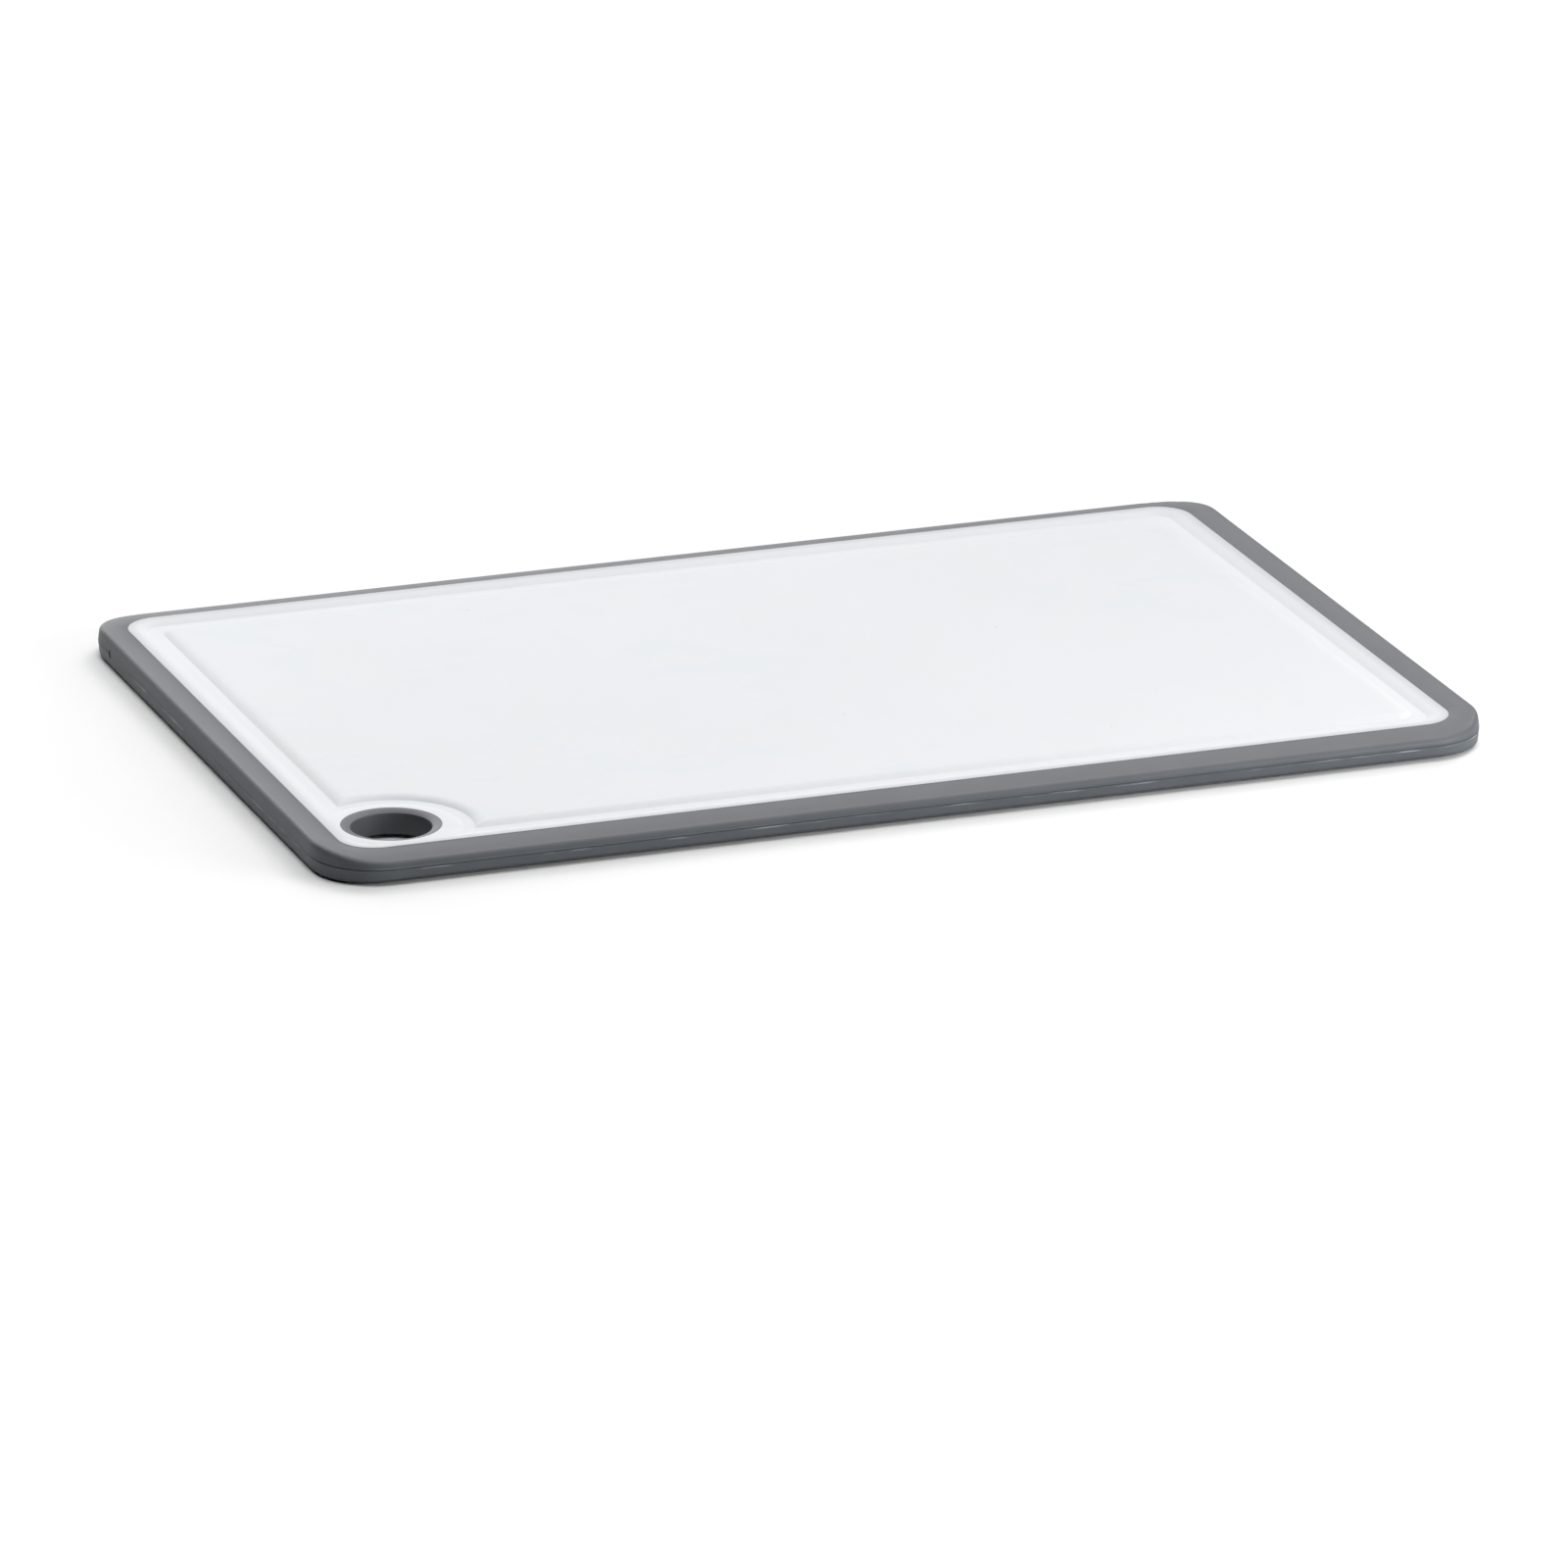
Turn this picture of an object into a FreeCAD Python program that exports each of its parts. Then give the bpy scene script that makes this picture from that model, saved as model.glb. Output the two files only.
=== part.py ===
import FreeCAD, Part
import math
import os

# Overmoulded plastic cutting board, built in its resting position.
# Millimetres. +X runs along the long side, +Y across, +Z up.
# The origin is the middle of the footprint, on the surface the board rests on.

# ---- core (the rigid white slab) ----
PANEL_X = 350.0          # slab between the inner edges of the rim
PANEL_Y = 229.0
PANEL_R = 11.0           # corner radius of the visible slab
CORE_BOTTOM = 0.45
CORE_TOP = 8.45
TONGUE_WIDTH = 5.5       # how far the slab's edge runs into the rim
TONGUE_BOTTOM = 2.9
TONGUE_TOP = 5.7
KEY_R = 1.6              # holes in the tongue that the rim flows through
KEY_OFFSET = 3.0         # from the visible edge to the hole's centre
KEY_PITCH = 25.0
KEYS_LONG = 13           # holes along each long side
KEYS_SHORT = 9           # holes along each short side

# ---- juice groove, distances measured inward from the visible edge ----
GROOVE_DEPTH = 1.0
LIP_START = 1.0          # where the flat edge starts to fall away
LIP_FOOT = 6.5           # outer foot of the groove
WALL_FOOT = 9.8          # inner foot of the groove
WALL_TOP = 13.5          # where the cutting surface is flat again
WALL_CORNER_R = 5.5      # corner radius at the inner foot

# ---- hanging hole and its ring ----
HOLE_INSET = 19.0        # hole axis from both visible edges
LAND_R = 14.6            # round the hole, the groove's distances are measured from this radius
FLANGE_R = 15.0
SLEEVE_R = 13.5
BORE_R = 12.0
FLANGE_T = 1.8           # thickness of the two flanges let into the slab
FUNNEL_EDGE_R = 12.5     # where the dished flange face meets the bore's rounding
FUNNEL_DROP = 0.6
BORE_EDGE_DROP = 1.1     # from the slab's face to the start of the straight bore

# ---- rim (soft overmoulded edge): offsets measured outward from the slab ----
# The two short sides are thick and carry the board. The two long sides are thinner.
RIM_PART = 4.8           # height of the parting line
RIM_INNER_TOP = 8.35     # where the rim meets the slab, top and bottom
RIM_INNER_LOW = 0.55
EDGE_R = 1.8             # rounding of the outer edges
DRAFT = 0.3              # how far the side leans out towards the parting line
PARTING_HALF = 0.25      # half height and depth of the parting groove
FOOT_START = 2.5         # inner edge of the flat underside

SHORT_WIDTH = 9.1        # short sides
SHORT_TOP = 9.5
SHORT_LOW = 0.0
SHORT_CROWN = (3.2, 9.2)     # a point of the domed top: offset and height
SHORT_FOOT_LOW = 0.0         # height of the underside at FOOT_START

LONG_WIDTH = 10.2        # long sides
LONG_TOP = 7.05
LONG_LOW = 1.0
LONG_CROWN = (4.4, 7.85)
LONG_FOOT_LOW = 0.7

CORNER_STATIONS = 10     # sections along each corner, thick end to thin end
LOW_BLEND_START = 0.35   # the underside stays at full thickness up to here

GATE_Y = 94.5            # mould gate mark on the left-hand edge
GATE_R = 1.3
GATE_DEPTH = 0.35

MARGIN = 1.0             # how far solids that are joined or cut run past each other

HALF_X = PANEL_X / 2.0
HALF_Y = PANEL_Y / 2.0
GROOVE_FLOOR = CORE_TOP - GROOVE_DEPTH
HOLE_X = HOLE_INSET - HALF_X
HOLE_Y = HOLE_INSET - HALF_Y
UP = FreeCAD.Vector(0, 0, 1)


def vec(x, y, z):
    return FreeCAD.Vector(x, y, z)


def rounded_slab(half_x, half_y, radius, z0, z1):
    """Slab with rounded vertical corners, centred on the origin."""
    box = Part.makeBox(2 * half_x, 2 * half_y, z1 - z0, vec(-half_x, -half_y, z0))
    edges = [e for e in box.Edges if abs(e.tangentAt(e.FirstParameter).z) > 0.9]
    return box.makeFillet(radius, edges)


def tangent_arc(start, end):
    """Arc that leaves start level and reaches end, as three points."""
    width = end[0] - start[0]
    drop = start[1] - end[1]
    radius = (width * width + drop * drop) / (2.0 * drop)
    half = math.asin(abs(width) / radius) / 2.0
    side = 1.0 if width > 0 else -1.0
    mid = (start[0] + side * radius * math.sin(half), start[1] - radius * (1.0 - math.cos(half)))
    return start, mid, end


def round_mid(centre, radius, angle_deg):
    """Point of a rounding's arc, seen in its section."""
    a = math.radians(angle_deg)
    return centre[0] + radius * math.cos(a), centre[1] + radius * math.sin(a)


def section_wire(section, place):
    """Closed wire from a list of two-point lines and three-point arcs."""
    edges = []
    for item in section:
        points = [place(u, z) for u, z in item]
        if len(points) == 2:
            edges.append(Part.makeLine(points[0], points[1]))
        else:
            edges.append(Part.Arc(points[0], points[1], points[2]).toShape())
    return Part.Wire(edges)


def radial_direction(angle_deg):
    a = math.radians(angle_deg)
    return vec(math.cos(a), math.sin(a), 0)


def radial_place(centre, angle_deg, radius):
    """Map (offset, height) into the vertical plane through a corner centre."""
    out = radial_direction(angle_deg)
    return lambda u, z: centre + out * (radius + u) + UP * z


def corner_centres(half_x, half_y, radius):
    """Corner centres counter-clockwise, each with the angle its arc starts at."""
    cx = half_x - radius
    cy = half_y - radius
    return [(vec(cx, cy, 0), 0), (vec(-cx, cy, 0), 90), (vec(-cx, -cy, 0), 180), (vec(cx, -cy, 0), 270)]


def swept_ring(section, half_x, half_y, radius):
    """Section swept along a rounded rectangle: four straights and four corners."""
    pieces = []
    corners = corner_centres(half_x, half_y, radius)
    for i, (centre, angle) in enumerate(corners):
        start = Part.Face(section_wire(section, radial_place(centre, angle, radius)))
        pieces.append(start.revolve(centre, UP, 90))
        end = Part.Face(section_wire(section, radial_place(centre, angle + 90, radius)))
        pieces.append(end.extrude(corners[(i + 1) % 4][0] - centre))
    return pieces[0].multiFuse(pieces[1:]).removeSplitter()


def lip_section():
    arc = tangent_arc((-LIP_START, CORE_TOP), (-LIP_FOOT, GROOVE_FLOOR))
    low = GROOVE_FLOOR - MARGIN
    return [
        [(0, low), (0, CORE_TOP)],
        [(0, CORE_TOP), arc[0]],
        list(arc),
        [arc[2], (-LIP_FOOT, low)],
        [(-LIP_FOOT, low), (0, low)],
    ]


def plateau_edge_section():
    """Convex edge of the cutting surface; offset 0 is the groove's inner foot."""
    width = WALL_TOP - WALL_FOOT
    arc = tangent_arc((-width, CORE_TOP), (0, GROOVE_FLOOR))
    low = GROOVE_FLOOR - MARGIN
    return [
        [(-width, low), (-width, CORE_TOP)],
        list(arc),
        [arc[2], (0, low)],
        [(0, low), (-width, low)],
    ]


def revolved(section):
    """Solid of revolution about the hanging hole's axis."""
    centre = vec(HOLE_X, HOLE_Y, 0)
    face = Part.Face(section_wire(section, lambda r, z: centre + vec(r, 0, z)))
    return face.revolve(centre, UP, 360)


def island():
    """Raised land that carries the ring, with the groove's outer slope round it."""
    start = (LAND_R + LIP_START, CORE_TOP)
    end = (LAND_R + LIP_FOOT, GROOVE_FLOOR)
    low = GROOVE_FLOOR - MARGIN
    return revolved([
        [(0, low), (0, CORE_TOP)],
        [(0, CORE_TOP), start],
        list(tangent_arc(start, end)),
        [end, (end[0], low)],
        [(end[0], low), (0, low)],
    ])


def plateau_pocket():
    """Space swept clear of the cutting surface where the groove rounds the hole."""
    foot = (LAND_R + WALL_FOOT, GROOVE_FLOOR)
    top = (LAND_R + WALL_TOP, CORE_TOP)
    high = CORE_TOP + MARGIN
    return revolved([
        [(0, GROOVE_FLOOR), foot],
        list(tangent_arc(top, foot))[::-1],
        [top, (top[0], high)],
        [(top[0], high), (0, high)],
        [(0, high), (0, GROOVE_FLOOR)],
    ])


def plateau():
    """Cutting surface inside the groove."""
    half_x = HALF_X - WALL_FOOT
    half_y = HALF_Y - WALL_FOOT
    width = WALL_TOP - WALL_FOOT
    low = GROOVE_FLOOR - MARGIN
    middle = rounded_slab(half_x - width, half_y - width, WALL_CORNER_R - width, low, CORE_TOP)
    edge = swept_ring(plateau_edge_section(), half_x, half_y, WALL_CORNER_R)
    return middle.fuse(edge).cut(plateau_pocket())


def key_positions():
    xs = [(i - (KEYS_LONG - 1) / 2.0) * KEY_PITCH for i in range(KEYS_LONG)]
    ys = [(i - (KEYS_SHORT - 1) / 2.0) * KEY_PITCH for i in range(KEYS_SHORT)]
    spots = [(x, s * (HALF_Y + KEY_OFFSET)) for x in xs for s in (-1, 1)]
    return spots + [(s * (HALF_X + KEY_OFFSET), y) for y in ys for s in (-1, 1)]


def tongue():
    """Thin edge of the slab, gripped by the rim, with its keying holes."""
    grow = TONGUE_WIDTH
    slab = rounded_slab(HALF_X + grow, HALF_Y + grow, PANEL_R + grow, TONGUE_BOTTOM, TONGUE_TOP)
    height = TONGUE_TOP - TONGUE_BOTTOM
    keys = [Part.makeCylinder(KEY_R, height, vec(x, y, TONGUE_BOTTOM)) for x, y in key_positions()]
    return slab.cut(Part.makeCompound(keys))


def core():
    base = rounded_slab(HALF_X, HALF_Y, PANEL_R, CORE_BOTTOM, GROOVE_FLOOR)
    panel = rounded_slab(HALF_X, HALF_Y, PANEL_R, GROOVE_FLOOR - MARGIN, CORE_TOP)
    lip = swept_ring(lip_section(), HALF_X, HALF_Y, PANEL_R)
    land = island().common(panel)
    body = base.multiFuse([lip, land, plateau(), tongue()])
    return body.cut(ring_envelope()).removeSplitter()


def ring_envelope():
    """Everything inside the outside faces of the ring."""
    axis = vec(HOLE_X, HOLE_Y, 0)
    height = CORE_TOP - CORE_BOTTOM
    sleeve = Part.makeCylinder(SLEEVE_R, height, axis + UP * CORE_BOTTOM)
    low = Part.makeCylinder(FLANGE_R, FLANGE_T, axis + UP * CORE_BOTTOM)
    top = Part.makeCylinder(FLANGE_R, FLANGE_T, axis + UP * (CORE_TOP - FLANGE_T))
    return sleeve.multiFuse([low, top]).removeSplitter()


def bore_cut():
    """Straight bore with a dished, rounded mouth on each face."""
    middle = (CORE_TOP + CORE_BOTTOM) / 2.0
    rise = CORE_TOP - middle
    edge = (FUNNEL_EDGE_R, rise - FUNNEL_DROP)
    funnel = tangent_arc((FLANGE_R, rise), edge)
    bore_end = (BORE_R, rise - BORE_EDGE_DROP)
    rounding = round_mid((FUNNEL_EDGE_R, bore_end[1]), FUNNEL_EDGE_R - BORE_R, 135)
    high = rise + MARGIN
    upper = [
        [bore_end, rounding, edge],
        list(funnel)[::-1],
        [(FLANGE_R, rise), (FLANGE_R, high)],
    ]
    lower = [[(r, -z) for r, z in item][::-1] for item in upper][::-1]
    inside = [[(FLANGE_R, high), (0, high)], [(0, high), (0, -high)], [(0, -high), (FLANGE_R, -high)]]
    section = upper + inside + lower + [[(BORE_R, -bore_end[1]), bore_end]]
    return revolved([[(r, z + middle) for r, z in item] for item in section])


def hole_ring():
    return ring_envelope().cut(bore_cut()).removeSplitter()


def rim_section(width, top, low, crown, foot_low):
    """Closed section of the rim, with stock inside it that the slab's outline trims."""
    shoulder = width - DRAFT - EDGE_R
    wall = width - DRAFT
    upper = (shoulder, top - EDGE_R)
    lower = (shoulder, low + EDGE_R)
    groove_top = RIM_PART + PARTING_HALF
    groove_low = RIM_PART - PARTING_HALF
    return [
        [(-MARGIN, RIM_INNER_TOP), (0, RIM_INNER_TOP)],
        [(0, RIM_INNER_TOP), crown, (shoulder, top)],
        [(shoulder, top), round_mid(upper, EDGE_R, 45), (wall, upper[1])],
        [(wall, upper[1]), (width, groove_top)],
        [(width, groove_top), (width - PARTING_HALF, RIM_PART)],
        [(width - PARTING_HALF, RIM_PART), (width, groove_low)],
        [(width, groove_low), (wall, lower[1])],
        [(wall, lower[1]), round_mid(lower, EDGE_R, -45), (shoulder, low)],
        [(shoulder, low), (FOOT_START, foot_low)],
        [(FOOT_START, foot_low), (0, RIM_INNER_LOW)],
        [(0, RIM_INNER_LOW), (-MARGIN, RIM_INNER_LOW)],
        [(-MARGIN, RIM_INNER_LOW), (-MARGIN, RIM_INNER_TOP)],
    ]


def eased(start, end, share):
    """Value between start and end that leaves and arrives level."""
    share = min(max(share, 0.0), 1.0)
    return start + (end - start) * share * share * (3.0 - 2.0 * share)


def blended_section(share):
    """Section between the short side's (share 0) and the long side's (share 1)."""
    low_share = (share - LOW_BLEND_START) / (1.0 - LOW_BLEND_START)
    crown = tuple(eased(a, b, share) for a, b in zip(SHORT_CROWN, LONG_CROWN))
    return rim_section(
        eased(SHORT_WIDTH, LONG_WIDTH, share),
        eased(SHORT_TOP, LONG_TOP, share),
        eased(SHORT_LOW, LONG_LOW, low_share),
        crown,
        eased(SHORT_FOOT_LOW, LONG_FOOT_LOW, low_share),
    )


def rim_corner(centre, angle, starts_short):
    """Corner whose section runs smoothly from the short side's to the long side's."""
    wires = []
    for i in range(CORNER_STATIONS):
        share = i / (CORNER_STATIONS - 1.0)
        place = radial_place(centre, angle + 90.0 * share, PANEL_R)
        wires.append(section_wire(blended_section(share if starts_short else 1.0 - share), place))
    return Part.makeLoft(wires, True, False)


def rim_side(centre, angle, length, share):
    """Straight side of constant section."""
    face = Part.Face(section_wire(blended_section(share), radial_place(centre, angle, PANEL_R)))
    return face.extrude(radial_direction(angle + 90) * length)


def gate_mark():
    """Shallow round dimple left by the mould gate."""
    start = vec(-HALF_X - SHORT_WIDTH - MARGIN, GATE_Y, RIM_PART)
    return Part.makeCylinder(GATE_R, MARGIN + GATE_DEPTH, start, vec(1, 0, 0))


def rim():
    pieces = []
    corners = corner_centres(HALF_X, HALF_Y, PANEL_R)
    for i, (centre, angle) in enumerate(corners):
        starts_short = i % 2 == 0
        pieces.append(rim_corner(centre, angle, starts_short))
        length = (corners[(i + 1) % 4][0] - centre).Length
        pieces.append(rim_side(centre, angle + 90, length, 1.0 if starts_short else 0.0))
    ring = pieces[0].multiFuse(pieces[1:]).removeSplitter()
    opening = rounded_slab(HALF_X, HALF_Y, PANEL_R, SHORT_LOW - MARGIN, SHORT_TOP + MARGIN)
    return ring.cut(opening).cut(tongue()).cut(gate_mark()).removeSplitter()


def single_solid(shape):
    if len(shape.Solids) != 1:
        raise ValueError("expected one solid, got %d" % len(shape.Solids))
    return shape.Solids[0]


def main():
    os.makedirs("parts", exist_ok=True)
    single_solid(core()).exportStep("parts/core.step")
    single_solid(rim()).exportStep("parts/rim.step")
    single_solid(hole_ring()).exportStep("parts/hole_ring.step")


main()
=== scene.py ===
import math

import bpy
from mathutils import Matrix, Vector


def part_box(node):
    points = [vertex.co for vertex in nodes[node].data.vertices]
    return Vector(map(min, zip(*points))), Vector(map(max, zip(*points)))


# Sizes are in metres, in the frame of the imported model.
MM = 0.001

# ---- details of the imported parts that the finishes and the painted light and shade follow ----
TONGUE = 5.5 * MM        # how far the slab runs into the rim
PANEL_R = 11.0 * MM      # corner radius of the visible slab
PARTING = 4.8 * MM       # height of the rim's mould line
# Distances inwards from the visible edge between which the painted light on the channel and the
# painted shade at the edge fade in.
GROOVE_LIGHT_OUTER_FADE = (1.5 * MM, 5.0 * MM)
GROOVE_LIGHT_INNER_FADE = (13.5 * MM, 9.5 * MM)
EDGE_SHADE_FADE = (3.2 * MM, 0.2 * MM)

# ---- finishes, and painted light and shade ----
WHITE = (0.585, 0.594, 0.614)
WHITE_BLUISH = (0.541, 0.588, 0.618)
WHITE_WARM = (0.584, 0.59, 0.588)
WHITE_FINE = (0.552, 0.561, 0.582)
# Painted light: makes the channel around the working surface paler.
GROOVE_PAINTED_LIGHT = (0.607, 0.616, 0.634)
# Painted shade: darkens the slab next to the rim.
EDGE_PAINTED_SHADE = (0.4192, 0.4318, 0.4611)
SPECK = (0.3, 0.29, 0.27)
SPECK_PITCH = 36 * MM
SPECK_R = 0.3 * MM
SPECK_SHARE = 0.14       # part of the cells that hold a speck
WHITE_ROUGH = 0.56
WHITE_SHEEN = 0.3
GREY = (0.0854, 0.0888, 0.0999)
GREY_PALE = (0.093, 0.0964, 0.1075)
GREY_BLOOM = (0.1195, 0.1229, 0.134)
FLASH = (0.3, 0.31, 0.33)
# Painted shade: a cool cast on the rim's sides.
SIDE_PAINTED_SHADE = (0.915, 1.0, 1.0)    # multiplies the rim's colour below its top edge
GREY_ROUGH = 0.54
GREY_SHEEN = 0.4

# ---- studio ----
FLOOR_HALF = 12.0
FLOOR_GREY = 0.8
# Painted light: the paper is painted paler away from the board.
FLOOR_FAR_PAINTED_LIGHT = 0.99        # further away, so that the backdrop stays plain white
FLOOR_LIGHT_FADE = (0.22, 0.5)     # distances from the middle between which it turns pale
FLOOR_ROUGH = 0.9
LIGHT_FROM_BELOW = 0.8
HORIZON_FADE = -0.05     # how far below the horizon that light reaches full strength
SUN_DISTANCE = 3.0       # only where a distant light's icon stands; it changes nothing
# Distant soft lights: azimuth from +X towards +Y, elevation, angular diameter, strength.
OVERHEAD = (0, 90, 30, 1.5)
BACK_RIGHT = (45, 40, 30, 1.1)
LOW_BACK = (90, 20, 45, 1.3)
RIGHT = (0, 60, 45, 0.6)
# Panels close to the board: azimuth, elevation, distance, size, watts.
FRONT_PANEL = (310, 15, 0.75, 0.35, 4.0)
BACK_PANEL = (110, 40, 0.75, 0.35, 1.2)

# ---- camera ----
LENS = 279.07            # millimetres
SENSOR = 36.0            # millimetres
VIEW_END = 100.0
CAMERA_AT = (-1.1946, -3.29333, 1.17025)
CAMERA_PITCH = 18.884    # degrees below the horizon
CAMERA_YAW = -19.951

# ---- Blender's Mix node names its colour sockets only by number ----
MIX_COLOURS_IN = (6, 7)
MIX_COLOUR_OUT = 2

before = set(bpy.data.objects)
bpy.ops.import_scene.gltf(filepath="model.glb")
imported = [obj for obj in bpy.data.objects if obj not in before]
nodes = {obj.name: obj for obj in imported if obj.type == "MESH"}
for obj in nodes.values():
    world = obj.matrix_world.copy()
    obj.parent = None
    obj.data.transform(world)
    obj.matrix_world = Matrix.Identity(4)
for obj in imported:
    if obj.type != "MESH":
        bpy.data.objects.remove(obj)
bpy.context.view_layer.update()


class Shade:
    """Short way to write a node tree."""

    def __init__(self, name, sheen):
        self.material = bpy.data.materials.new(name)
        self.material.use_nodes = True
        self.tree = self.material.node_tree
        self.tree.nodes.clear()
        output = self.add("ShaderNodeOutputMaterial")
        self.bsdf = self.add("ShaderNodeBsdfPrincipled")
        self.bsdf.inputs["Specular IOR Level"].default_value = sheen
        self.link(self.bsdf.outputs["BSDF"], output.inputs["Surface"])
        self.place = self.add("ShaderNodeTexCoord").outputs["Object"]

    def add(self, kind, **values):
        node = self.tree.nodes.new(kind)
        for key, value in values.items():
            setattr(node, key, value)
        return node

    def link(self, source, target):
        self.tree.links.new(source, target)

    def noise(self, size, detail=2.0, stretch=None, seed=0.0):
        """Noise whose features are about size metres across."""
        node = self.add("ShaderNodeTexNoise", noise_dimensions="4D")
        node.inputs["Scale"].default_value = 1.0 / size
        node.inputs["Detail"].default_value = detail
        node.inputs["W"].default_value = seed
        place = self.place
        if stretch:
            mapping = self.add("ShaderNodeMapping")
            mapping.inputs["Scale"].default_value = stretch
            self.link(place, mapping.inputs["Vector"])
            place = mapping.outputs["Vector"]
        self.link(place, node.inputs["Vector"])
        return node.outputs["Fac"]

    def span(self, source, low, high, to_low=0.0, to_high=1.0):
        node = self.add("ShaderNodeMapRange")
        node.inputs["From Min"].default_value = low
        node.inputs["From Max"].default_value = high
        node.inputs["To Min"].default_value = to_low
        node.inputs["To Max"].default_value = to_high
        self.link(source, node.inputs["Value"])
        return node.outputs["Result"]

    def math(self, operation, a, b):
        node = self.add("ShaderNodeMath", operation=operation)
        for socket, value in zip(node.inputs, (a, b)):
            if isinstance(value, float):
                socket.default_value = value
            else:
                self.link(value, socket)
        return node.outputs["Value"]

    def vector(self, operation, a, b=None):
        node = self.add("ShaderNodeVectorMath", operation=operation)
        self.link(a, node.inputs[0])
        if b is not None:
            node.inputs[1].default_value = b
        return node.outputs["Vector"]

    def blend(self, factor, a, b, mode="MIX"):
        """Colour a turning into colour b as factor goes from 0 to 1."""
        node = self.add("ShaderNodeMix", data_type="RGBA", blend_type=mode)
        self.link(factor, node.inputs["Factor"])
        for index, value in zip(MIX_COLOURS_IN, (a, b)):
            socket = node.inputs[index]
            if isinstance(value, tuple):
                socket.default_value = (*value, 1.0)
            else:
                self.link(value, socket)
        return node.outputs[MIX_COLOUR_OUT]

    def bump(self, height, depth, below=None):
        node = self.add("ShaderNodeBump")
        node.inputs["Distance"].default_value = depth
        self.link(height, node.inputs["Height"])
        if below is not None:
            self.link(below, node.inputs["Normal"])
        return node.outputs["Normal"]

    def height(self):
        split = self.add("ShaderNodeSeparateXYZ")
        self.link(self.place, split.inputs["Vector"])
        return split.outputs["Z"]

    def distance_from_level(self, z):
        return self.math("ABSOLUTE", self.math("SUBTRACT", self.height(), z), 0.0)


def edge_distance(shade):
    """Distance inwards from the slab's visible edge, in metres, near that edge."""
    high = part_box("core")[1]
    reach = TONGUE + PANEL_R
    above_all = 1.0      # more than any height, so that height doesn't count
    apart = shade.vector("ABSOLUTE", shade.place)
    past = shade.vector("SUBTRACT", apart, (high[0] - reach, high[1] - reach, above_all))
    past = shade.vector("MAXIMUM", past, (0.0, 0.0, 0.0))
    length = shade.add("ShaderNodeVectorMath", operation="LENGTH")
    shade.link(past, length.inputs[0])
    return shade.math("SUBTRACT", PANEL_R, length.outputs["Value"])


def specks(shade, pitch, radius, kept):
    """Tiny round marks seen in plan: 1 inside one, 0 elsewhere. Kept is the share of cells."""
    cells = shade.add("ShaderNodeTexVoronoi", voronoi_dimensions="2D")
    cells.inputs["Scale"].default_value = 1.0 / pitch
    shade.link(shade.place, cells.inputs["Vector"])
    inside = shade.span(cells.outputs["Distance"], radius / pitch, 0.6 * radius / pitch)
    split = shade.add("ShaderNodeSeparateColor")
    shade.link(cells.outputs["Color"], split.inputs["Color"])
    chosen = shade.math("LESS_THAN", split.outputs["Red"], kept)
    return shade.math("MULTIPLY", inside, chosen)


def mottled(shade):
    """White with faint cool patches that gather here and there, and fainter warm ones."""
    gathered = shade.span(shade.noise(75 * MM, 2.0, seed=1.0), 0.43, 0.55)
    cool = shade.span(shade.noise(17 * MM, 6.0, stretch=(0.6, 1.0, 1.0)), 0.5, 0.54)
    colour = shade.blend(shade.math("MULTIPLY", cool, gathered), WHITE, WHITE_BLUISH)
    warm = shade.span(shade.noise(24 * MM, 6.0, seed=2.0), 0.5, 0.56)
    colour = shade.blend(shade.math("MULTIPLY", warm, 0.8), colour, WHITE_WARM)
    fine = shade.span(shade.noise(1.3 * MM, 3.0, seed=3.0), 0.3, 0.7, 0.0, 0.35)
    return shade.blend(fine, colour, WHITE_FINE)


def white_plastic():
    """Matt moulded slab: faint mottling, fine grain, painted light that makes the juice channel
    paler, and painted shade that darkens the edge.
    """
    shade = Shade("white_plastic", WHITE_SHEEN)
    colour = mottled(shade)
    inset = edge_distance(shade)
    outer = shade.span(inset, *GROOVE_LIGHT_OUTER_FADE)
    inner = shade.span(inset, *GROOVE_LIGHT_INNER_FADE)
    face = shade.span(shade.height(), PARTING, PARTING + MM)
    groove_light = shade.math("MULTIPLY", shade.math("MULTIPLY", outer, inner), face)
    # Painted light: the channel is painted paler.
    colour = shade.blend(groove_light, colour, GROOVE_PAINTED_LIGHT)
    edge = shade.span(inset, *EDGE_SHADE_FADE)
    # Painted shade: the slab darkens towards its edge, where it meets the rim.
    colour = shade.blend(shade.math("MULTIPLY", edge, 0.7), colour, EDGE_PAINTED_SHADE)
    colour = shade.blend(specks(shade, SPECK_PITCH, SPECK_R, SPECK_SHARE), colour, SPECK)
    shade.link(colour, shade.bsdf.inputs["Base Color"])

    grain = shade.noise(0.55 * MM, 3.0, seed=4.0)
    handling = shade.span(shade.noise(60 * MM, 3.0, seed=6.0), 0.35, 0.65, -0.02, 0.02)
    rough = shade.span(grain, 0.3, 0.7, WHITE_ROUGH - 0.04, WHITE_ROUGH + 0.04)
    shade.link(shade.math("ADD", rough, handling), shade.bsdf.inputs["Roughness"])
    ripple = shade.bump(shade.noise(9 * MM, 2.0, seed=8.0), 0.02 * MM)
    shade.link(shade.bump(grain, 0.012 * MM, ripple), shade.bsdf.inputs["Normal"])
    return shade.material


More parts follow.
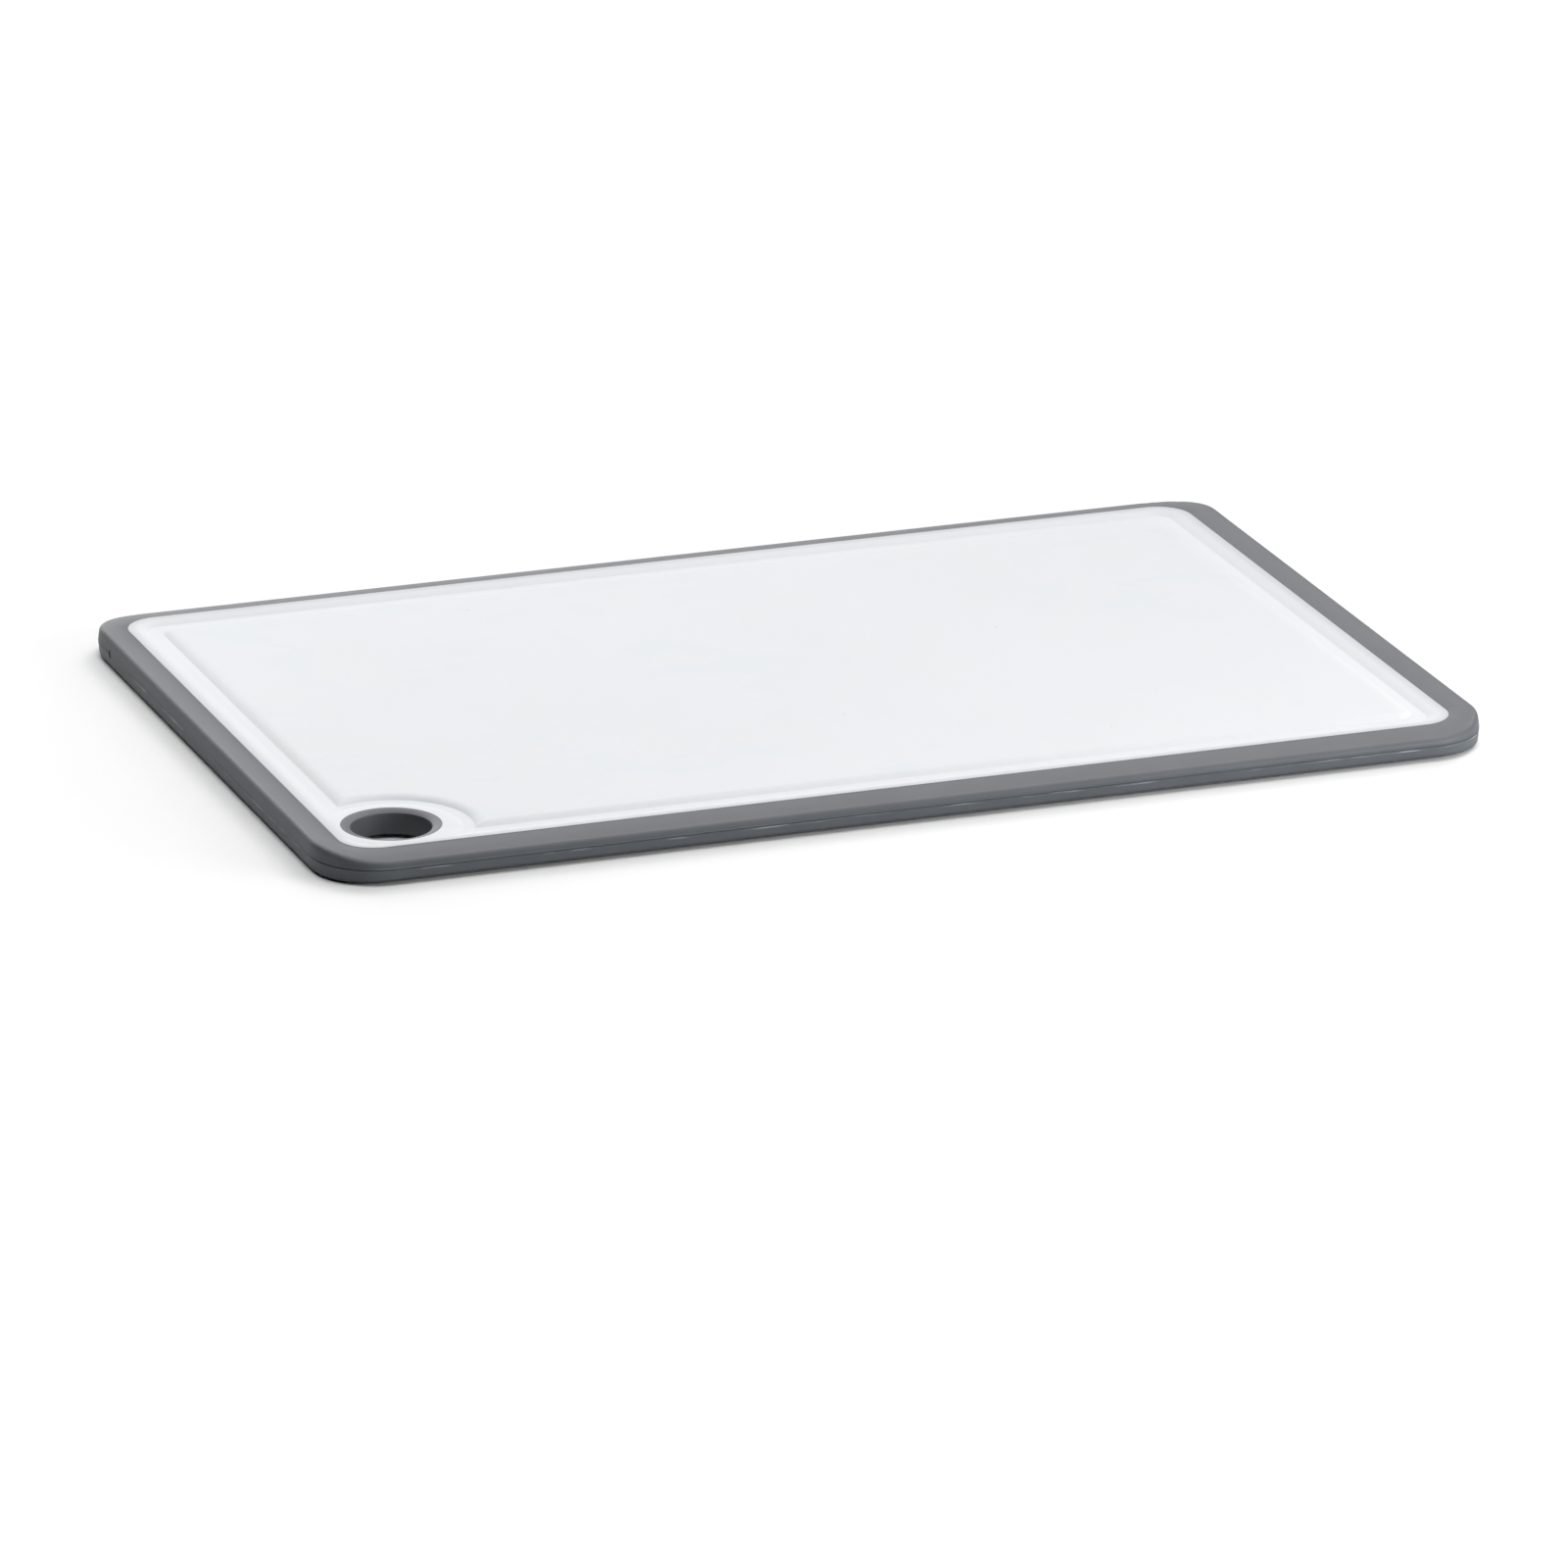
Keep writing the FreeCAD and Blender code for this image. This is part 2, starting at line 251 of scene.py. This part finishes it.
def grey_rubber(name, seed, parting=None):
    """Satin moulded rubber; parting is the height of a mould line with its trimmed flash, and
    below a little above it the rim's sides get a painted cool shade.
    """
    shade = Shade(name, GREY_SHEEN)
    clouds = shade.span(shade.noise(16 * MM, 4.0, seed=seed), 0.35, 0.65)
    colour = shade.blend(clouds, GREY, GREY_PALE)
    grain = shade.noise(0.4 * MM, 3.0, seed=seed + 2.0)
    colour = shade.blend(shade.span(grain, 0.55, 0.8, 0.0, 0.3), colour, GREY_BLOOM)
    rough = shade.span(grain, 0.3, 0.7, GREY_ROUGH - 0.05, GREY_ROUGH + 0.05)
    normal = shade.bump(grain, 0.014 * MM)
    if parting:
        painted_side_shade = shade.span(shade.height(), parting + 2.2 * MM, parting + 1.0 * MM)
        # Painted shade: the rim's sides below its top edge are cooled.
        colour = shade.blend(painted_side_shade, colour, SIDE_PAINTED_SHADE, "MULTIPLY")
        ragged = shade.noise(1.1 * MM, 3.0, stretch=(0.1, 0.1, 1.0), seed=seed + 4.0)
        streaks = shade.span(ragged, 0.5, 0.68)
        line = shade.span(shade.distance_from_level(parting - 0.5 * MM), 0.38 * MM, 0.1 * MM)
        flash = shade.math("MULTIPLY", streaks, line)
        colour = shade.blend(shade.math("MULTIPLY", flash, 0.8), colour, FLASH)
        rough = shade.math("SUBTRACT", rough, shade.math("MULTIPLY", flash, 0.12))
        normal = shade.bump(flash, 0.05 * MM, normal)
        drag = shade.noise(0.5 * MM, 2.0, stretch=(0.06, 0.06, 1.0), seed=seed + 6.0)
        normal = shade.bump(drag, 0.012 * MM, normal)
    shade.link(colour, shade.bsdf.inputs["Base Color"])
    shade.link(rough, shade.bsdf.inputs["Roughness"])
    shade.link(normal, shade.bsdf.inputs["Normal"])
    return shade.material


def floor_paper():
    """Matt paper, light grey near the board, with painted light that makes it almost white further
    away.
    """
    shade = Shade("floor_paper", 0.0)
    away = shade.add("ShaderNodeVectorMath", operation="LENGTH")
    shade.link(shade.place, away.inputs[0])
    pale = shade.span(away.outputs["Value"], *FLOOR_LIGHT_FADE)
    near = (FLOOR_GREY, FLOOR_GREY, FLOOR_GREY)
    far_painted_light = (FLOOR_FAR_PAINTED_LIGHT, FLOOR_FAR_PAINTED_LIGHT, FLOOR_FAR_PAINTED_LIGHT)
    # Painted light: the paper turns paler further from the board.
    shade.link(shade.blend(pale, near, far_painted_light), shade.bsdf.inputs["Base Color"])
    shade.bsdf.inputs["Roughness"].default_value = FLOOR_ROUGH
    return shade.material


def assign(obj, material):
    obj.data.materials.clear()
    obj.data.materials.append(material)


def make_floor():
    mesh = bpy.data.meshes.new("floor")
    corners = [(-FLOOR_HALF, -FLOOR_HALF, 0), (FLOOR_HALF, -FLOOR_HALF, 0)]
    corners += [(FLOOR_HALF, FLOOR_HALF, 0), (-FLOOR_HALF, FLOOR_HALF, 0)]
    mesh.from_pydata(corners, [], [(0, 1, 2, 3)])
    floor = bpy.data.objects.new("floor", mesh)
    bpy.context.scene.collection.objects.link(floor)
    assign(floor, floor_paper())


def direction(azimuth, elevation):
    a = math.radians(azimuth)
    e = math.radians(elevation)
    return Vector((math.cos(e) * math.cos(a), math.cos(e) * math.sin(a), math.sin(e)))


def add_light(data, towards, distance):
    light = bpy.data.objects.new(data.name, data)
    bpy.context.scene.collection.objects.link(light)
    light.location = towards * distance
    light.rotation_euler = (-towards).to_track_quat("-Z", "Y").to_euler()
    light.visible_camera = False


def distant_light(azimuth, elevation, spread, strength):
    """Even light from one direction, soft because it fills a wide angle of the sky."""
    data = bpy.data.lights.new("distant_light", "SUN")
    data.angle = math.radians(spread)
    data.energy = strength
    add_light(data, direction(azimuth, elevation), SUN_DISTANCE)


def panel_light(azimuth, elevation, distance, size, watts):
    data = bpy.data.lights.new("panel_light", "AREA")
    data.shape = "SQUARE"
    data.size = size
    data.energy = watts
    add_light(data, direction(azimuth, elevation), distance)


def make_world():
    """Plain white backdrop past the floor. Its lower half gives the light that the floor hides."""
    world = bpy.data.worlds.new("studio")
    world.use_nodes = True
    tree = world.node_tree
    backdrop = tree.nodes["Background"]
    backdrop.inputs["Color"].default_value = (1, 1, 1, 1)
    split = tree.nodes.new("ShaderNodeSeparateXYZ")
    sky = tree.nodes.new("ShaderNodeTexCoord")
    tree.links.new(sky.outputs["Generated"], split.inputs["Vector"])
    below = tree.nodes.new("ShaderNodeMapRange")
    below.inputs["From Min"].default_value = 0.0
    below.inputs["From Max"].default_value = HORIZON_FADE
    below.inputs["To Max"].default_value = LIGHT_FROM_BELOW
    tree.links.new(split.outputs["Z"], below.inputs["Value"])
    path = tree.nodes.new("ShaderNodeLightPath")
    strength = tree.nodes.new("ShaderNodeMath")
    strength.operation = "MAXIMUM"
    tree.links.new(path.outputs["Is Camera Ray"], strength.inputs[0])
    tree.links.new(below.outputs["Result"], strength.inputs[1])
    tree.links.new(strength.outputs["Value"], backdrop.inputs["Strength"])
    bpy.context.scene.world = world


def make_camera():
    data = bpy.data.cameras.new("camera")
    data.lens = LENS
    data.sensor_width = SENSOR
    data.clip_end = VIEW_END
    camera = bpy.data.objects.new("camera", data)
    bpy.context.scene.collection.objects.link(camera)
    camera.location = CAMERA_AT
    camera.rotation_euler = (math.radians(90 - CAMERA_PITCH), 0, math.radians(CAMERA_YAW))
    bpy.context.scene.camera = camera


assign(nodes["core"], white_plastic())
assign(nodes["rim"], grey_rubber("grey_rubber", 0.0, PARTING))
assign(nodes["hole_ring"], grey_rubber("grey_rubber_ring", 5.0))
make_floor()
for values in (OVERHEAD, BACK_RIGHT, LOW_BACK, RIGHT):
    distant_light(*values)
for values in (FRONT_PANEL, BACK_PANEL):
    panel_light(*values)
make_world()
make_camera()
bpy.context.scene.view_settings.view_transform = "Standard"
